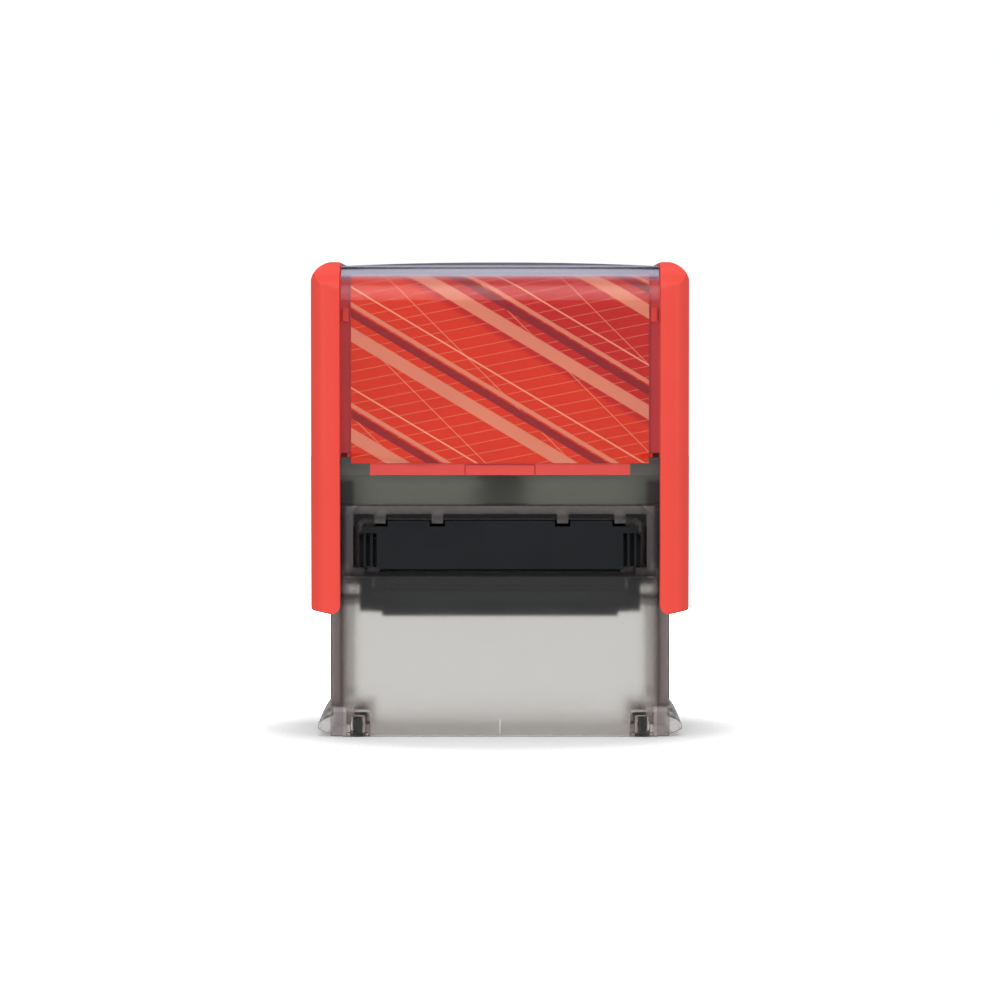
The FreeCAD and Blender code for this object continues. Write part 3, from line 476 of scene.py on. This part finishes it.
# Die carrier: a charcoal plate between two cheeks that the cam turns over, hung on two ground steel
# pins. A foam cushion and the cut rubber die are stuck to it.
def soft_slab(node, body, slot, rounding, crown, finish):
    """A soft slab that fills a node's box: rounded edges, and a lower face that bulges in its middle."""
    low, high = [Vector(corner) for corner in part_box(node)]
    centre = (low + high) / 2
    half = (high - low) / 2
    core = Vector((half.x - rounding, half.y - rounding, half.z - rounding))
    work = bmesh.new()
    bmesh.ops.create_cube(work, size=2.0)
    cuts = 26
    bmesh.ops.subdivide_edges(work, edges=work.edges[:], cuts=cuts, use_grid_fill=True)
    for point in work.verts:
        share = Vector([math.sin(c * math.pi / 2) for c in point.co])
        raw = Vector((share.x * half.x, share.y * half.y, share.z * half.z))
        kept = Vector([max(-core[i], min(core[i], raw[i])) for i in range(3)])
        over = raw - kept
        placed = kept + over.normalized() * rounding if over.length > 1e-9 else raw
        if share.z < 0:
            placed.z += crown * (1 - (1 - share.x ** 2) * (1 - share.y ** 2)) * -share.z
        point.co = centre + placed
    bmesh.ops.recalc_face_normals(work, faces=work.faces)
    mesh = bpy.data.meshes.new(node)
    work.to_mesh(mesh)
    work.free()
    piece = bpy.data.objects.new(node + "_soft", mesh)
    bpy.context.scene.collection.objects.link(piece)
    made_plain(piece, finish)
    fitted(piece, body, slot, node)


carrier_plastic, tree, surface = moulded("carrier_plastic", "1B1E21", "24272A", 0.45, gloss=0.3)
softened("die_carrier", "carrier", "carrier_plastic", 0.15 * mm, carrier_plastic)
pin_steel, tree, surface = moulded("pin_steel", "B4B4B8", "C6C6CA", 0.25, grain=9000.0, depth=0.05)
surface.inputs["Metallic"].default_value = 1.0
for side in ("right", "left"):
    softened("axle_pin_" + side, "carrier", "pin_steel", 0.06 * mm, pin_steel)
cushion_foam, tree, surface = moulded("cushion_foam", "26282A", "313335", 0.9, grain=1500.0, depth=0.8)
soft_slab("die_cushion", "carrier", "cushion_foam", 0.2 * mm, 0.0, cushion_foam)
die_rubber, tree, surface = moulded("die_rubber", "232325", "2E2D30", 0.7, grain=3000.0, depth=0.3)
softened("rubber_die", "carrier", "die_rubber", 0.06 * mm, die_rubber)


# Return spring: bright steel wire coiled nine turns round the two posts, its end coils wound closer
# so that they sit flat on the deck and under the cap's ceiling.
def spring_tree(finish):
    """Geometry Nodes that wind the wire: turns, coil radius, wire radius, height and end pitch."""
    tree = bpy.data.node_groups.new("wound_wire", "GeometryNodeTree")
    tree.is_modifier = True
    sockets = {}
    for label, value in (
        ("Turns", 9.0), ("Coil Radius", 4.0 * mm), ("Wire Radius", 0.5 * mm), ("Low Height", 0.0),
        ("Rise", 32.0 * mm), ("End Pitch", 1.9 * mm),
    ):
        socket = tree.interface.new_socket(label, in_out="INPUT", socket_type="NodeSocketFloat")
        socket.default_value = value
        sockets[label] = socket.identifier
    tree.interface.new_socket("Geometry", in_out="OUTPUT", socket_type="NodeSocketGeometry")
    given = tree.nodes.new("NodeGroupInput")
    result = tree.nodes.new("NodeGroupOutput")
    new, link = tree.nodes.new, tree.links.new

    line = new("GeometryNodeCurvePrimitiveLine")
    finer = new("GeometryNodeResampleCurve")
    finer.inputs["Count"].default_value = 360
    link(line.outputs["Curve"], finer.inputs["Curve"])
    along = new("GeometryNodeSplineParameter")
    turn = number(tree, "MULTIPLY", along.outputs["Factor"], given.outputs["Turns"])
    angle = number(tree, "MULTIPLY", turn, 2 * math.pi)
    last = number(tree, "SUBTRACT", given.outputs["Turns"], 1.0)
    first_part = number(tree, "MINIMUM", turn, 1.0)
    last_part = number(tree, "MAXIMUM", number(tree, "SUBTRACT", turn, last), 0.0)
    middle_part = number(tree, "SUBTRACT", number(tree, "SUBTRACT", turn, first_part), last_part)
    end_pitch = given.outputs["End Pitch"]
    ends = number(tree, "MULTIPLY", number(tree, "ADD", first_part, last_part), end_pitch)
    open_rise = number(tree, "SUBTRACT", given.outputs["Rise"], number(tree, "MULTIPLY", end_pitch, 2.0))
    open_pitch = number(tree, "DIVIDE", open_rise, number(tree, "SUBTRACT", given.outputs["Turns"], 2.0))
    height = number(tree, "ADD", ends, number(tree, "MULTIPLY", middle_part, open_pitch))
    height = number(tree, "ADD", height, given.outputs["Low Height"])
    place = new("ShaderNodeCombineXYZ")
    for axis, wave in (("X", "COSINE"), ("Y", "SINE")):
        out = number(tree, "MULTIPLY", number(tree, wave, angle), given.outputs["Coil Radius"])
        link(out, place.inputs[axis])
    link(height, place.inputs["Z"])
    wound = new("GeometryNodeSetPosition")
    link(finer.outputs["Curve"], wound.inputs["Geometry"])
    link(place.outputs[0], wound.inputs["Position"])
    ring = new("GeometryNodeCurvePrimitiveCircle")
    ring.inputs["Resolution"].default_value = 14
    link(given.outputs["Wire Radius"], ring.inputs["Radius"])
    wire = new("GeometryNodeCurveToMesh")
    wire.inputs["Fill Caps"].default_value = True
    link(wound.outputs["Geometry"], wire.inputs["Curve"])
    link(ring.outputs["Curve"], wire.inputs["Profile Curve"])
    real = new("GeometryNodeRealizeInstances")
    link(wire.outputs["Mesh"], real.inputs["Geometry"])
    painted = new("GeometryNodeSetMaterial")
    painted.inputs["Material"].default_value = finish
    link(real.outputs["Geometry"], painted.inputs["Geometry"])
    link(painted.outputs["Geometry"], result.inputs["Geometry"])
    return tree, sockets


spring_steel, tree, surface = moulded("spring_steel", "A9A9AD", "BDBDC1", 0.3, grain=9000.0, depth=0.05)
surface.inputs["Metallic"].default_value = 1.0
spring_low, spring_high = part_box("return_spring")
wire_radius = 0.5 * mm
winding, winding_inputs = spring_tree(spring_steel)
coil = bpy.data.objects.new("return_spring_wound", bpy.data.meshes.new("return_spring"))
bpy.context.scene.collection.objects.link(coil)
winder = coil.modifiers.new("winding", "NODES")
winder.node_group = winding
for label, value in (
    ("Low Height", spring_low[2] + wire_radius),
    ("Rise", spring_high[2] - spring_low[2] - 2 * wire_radius),
    ("Coil Radius", spring_high[0] - wire_radius),
    ("Wire Radius", wire_radius),
):
    winder[winding_inputs[label]] = float(value)
made_plain(coil, spring_steel)
fitted(coil, "base", "spring_steel", "return_spring")
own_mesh(coil)


# Cap: the red bow that the hand presses, one gloss moulding of a cover plate and two hollow arms.
# Its rails hook on the base frame, and the arms' bosses carry the axle pins.
red_plastic, tree, surface = moulded(
    "red_plastic", "E2473B", "DE4237", 0.42, spread=0.10, depth=0.04, polish=0.15
)
surface.inputs["Subsurface Weight"].default_value = 0.10
surface.inputs["Subsurface Radius"].default_value = (0.004, 0.0012, 0.001)
surface.inputs["Subsurface Scale"].default_value = 0.5
softened("cap_bow", "cap", "red_plastic", 0.45 * mm, red_plastic)


# Lock buttons: round black pegs that sit flush in the arms and click in by less than a millimetre.
# Each is held by a flange inside its arm.
button_plastic, tree, surface = moulded("button_plastic", "17191B", "202224", 0.38, gloss=0.35)
for side in ("right", "left"):
    softened("lock_button_" + side, "lock_" + side, "button_plastic", 0.08 * mm, button_plastic)


# Ink cartridge: a black drawer with a fine satin grain and ribbed finger grips, slid in from the
# front. The inked felt pad is pressed up into it and hangs face down.
drawer_plastic, tree, surface = moulded("drawer_plastic", "121417", "1B1E21", 0.42, depth=0.12, gloss=0.3)
softened("cartridge_tray", "cartridge", "black_plastic", 0.18 * mm, drawer_plastic)
pad_felt, tree, surface = moulded("pad_felt", "101018", "1D1C28", 0.92, grain=2400.0, depth=0.9, gloss=0.2)
soft_slab("ink_pad", "cartridge", "ink_felt", 0.35 * mm, 0.2 * mm, pad_felt)


# Index card: coated paper printed with plain diagonal stripes, folded over the front, the top and
# the rear of the cap's plate, under the clear cover.
def along_strip(mesh, radius, top, half_depth):
    """Lays a UV map along the strip, in millimetres: across it, and up its front, over and down."""
    bend_z = top - radius
    flat_y = half_depth - radius
    whole = 2 * bend_z + math.pi * radius + 2 * flat_y

    def run(y, z):
        if y > 0:
            return whole - run(-y, z)
        if z <= bend_z:
            return z
        if y > -flat_y:
            return bend_z + radius * math.pi / 2 + y + flat_y
        return bend_z + radius * math.atan2(z - bend_z, -flat_y - y)

    layer = mesh.uv_layers.new(name="strip")
    for loop in mesh.loops:
        point = mesh.vertices[loop.vertex_index].co
        layer.data[loop.index].uv = (point.x / mm, run(point.y, point.z) / mm)


card_print, tree, surface = new_material("card_print")
strip = tree.nodes.new("ShaderNodeUVMap")
strip.uv_map = "strip"
split = tree.nodes.new("ShaderNodeSeparateXYZ")
tree.links.new(strip.outputs[0], split.inputs[0])
u, v = split.outputs[0], split.outputs[1]
falling, steep, level = [number(tree, "MULTIPLY_ADD", u, slope, v) for slope in (0.6, 1.0, -0.2)]


def hairlines(value, spacing, width):
    """1 on thin lines repeated at a spacing across a value."""
    place = number(tree, "FRACT", number(tree, "DIVIDE", value, spacing))
    return number(tree, "LESS_THAN", place, width / spacing)


stripe_period, light_from, light_to = 15.0, 10.0, 60.0
turned = number(tree, "FRACT", number(tree, "DIVIDE", falling, stripe_period))
turned = number(tree, "MULTIPLY", turned, stripe_period)
ink = mixed(tree, between(tree, falling, light_from, light_to, 0.4), "C21C16", "D8300E")
for value, spacing, width, weight in ((level, 1.6, 0.11, 0.35), (steep, 13.0, 0.16, 0.6)):
    line = number(tree, "MULTIPLY", hairlines(value, spacing, width), weight)
    ink = mixed(tree, line, ink, "EFA27C")
for low, high, tone, weight in (
    (1.0, 3.2, "DE8767", 0.95), (4.6, 5.9, "86141E", 0.9),
    (6.2, 6.9, "DE8767", 0.9), (9.0, 9.25, "EFA27C", 0.9),
):
    stripe = number(tree, "MULTIPLY", between(tree, turned, low, high, 0.05), weight)
    ink = mixed(tree, stripe, ink, tone)
tree.links.new(ink, surface.inputs["Base Color"])
skin = grained(tree, 2600.0, 0.5, 0.08, 0.0)
tree.links.new(skin.outputs["Roughness"], surface.inputs["Roughness"])
surface.inputs["Specular IOR Level"].default_value = 0.15
fibres = tree.nodes.new("ShaderNodeBump")
fibres.inputs["Strength"].default_value = 0.1
fibres.inputs["Distance"].default_value = 0.00003
tree.links.new(skin.outputs["Height"], fibres.inputs["Height"])
tree.links.new(fibres.outputs[0], surface.inputs["Normal"])
card = softened("index_card", "cap", "printed_card", 0.02 * mm, card_print, segments=1)
card_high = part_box("index_card")[1]
card_bend = 4.4 * mm
along_strip(card.data, card_bend, card_high[2], card_high[1])


# Clear cover: a polished shell that snaps over the card on four catches, lifted by the thumb tabs.
# Painted edge light tints its edges lilac and painted shade its hooks; it is a little hazy round its long
# bends.
clear_plastic, tree, surface = new_material("clear_plastic")
surface.inputs["Transmission Weight"].default_value = 1.0
surface.inputs["IOR"].default_value = 1.49
cover_low, cover_high = [[c / mm for c in corner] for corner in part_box("clear_cover")]
side_x, bottom_z, top_z = cover_high[0], cover_low[2], cover_high[2]
tab_x, tab_top, tab_line = 5.2, bottom_z + 1.55, 0.12
place = own_place(tree)
z = place["Z"]
across = number(tree, "ABSOLUTE", place["X"])
# Painted edge light: the side bends are tinted lilac.
painted_side_edge_light = between(tree, across, side_x - 1.45, past_side, 0.1)
# Painted reflection: the band of clear cover above the card is tinted grey.
painted_top_reflection = between(tree, z, top_z - 1.9, past_top, 0.15)
# Painted edge light: a lilac line along the top of the crown.
painted_crown_edge_light = between(tree, z, top_z - 0.85, past_top, 0.15)
latches = between(tree, across, side_x - 3.9, past_side, 0.05)
latches = both(tree, latches, between(tree, z, 0.0, bottom_z + 2.55, 0.05))
# Painted shade: the clear hooks above the latches are tinted dark maroon.
painted_hook_shade = between(tree, across, side_x - 1.5, past_side, 0.05)
painted_hook_shade = both(tree, painted_hook_shade, between(tree, z, bottom_z + 2.6, bottom_z + 3.3, 0.05))
# Painted edge light: thin lilac lines trace the thumb tab's sides and lip.
tab_side = between(tree, across, tab_x - tab_line, tab_x + tab_line, 0.04)
tab_side = both(tree, tab_side, between(tree, z, 0.0, tab_top, 0.04))
tab_lip = between(tree, z, tab_top - tab_line, tab_top + tab_line, 0.04)
tab_lip = both(tree, tab_lip, between(tree, across, below, tab_x, 0.04))
painted_tab_edge_light = number(tree, "MAXIMUM", tab_side, tab_lip)
skin = grained(tree, 3000.0, 0.025, 0.02, 0.0)
tone = "FDFCFE"
# Painted edge light: the grain's edge mask tints every sharp edge of the cover lilac.
for mask, code in (
    (painted_side_edge_light, "E3D2E6"), (painted_top_reflection, "C4CACC"), (painted_crown_edge_light, "CFD0F0"), (latches, "FBF6FA"),
    (painted_hook_shade, "4A2026"), (painted_tab_edge_light, "D9BEDD"), (skin.outputs["Edge"], "A893BE"),
):
    tone = mixed(tree, mask, tone, code)
tree.links.new(tone, surface.inputs["Base Color"])
bend = between(tree, z, top_z - 5.6, top_z - 1.3, 0.9)
rough = number(tree, "MULTIPLY_ADD", bend, 0.14, skin.outputs["Roughness"])
tree.links.new(rough, surface.inputs["Roughness"])
lets_lamps_through(tree, surface, "F2F0F6")
softened("clear_cover", "cover", "clear_plastic", 0.14 * mm, clear_plastic)
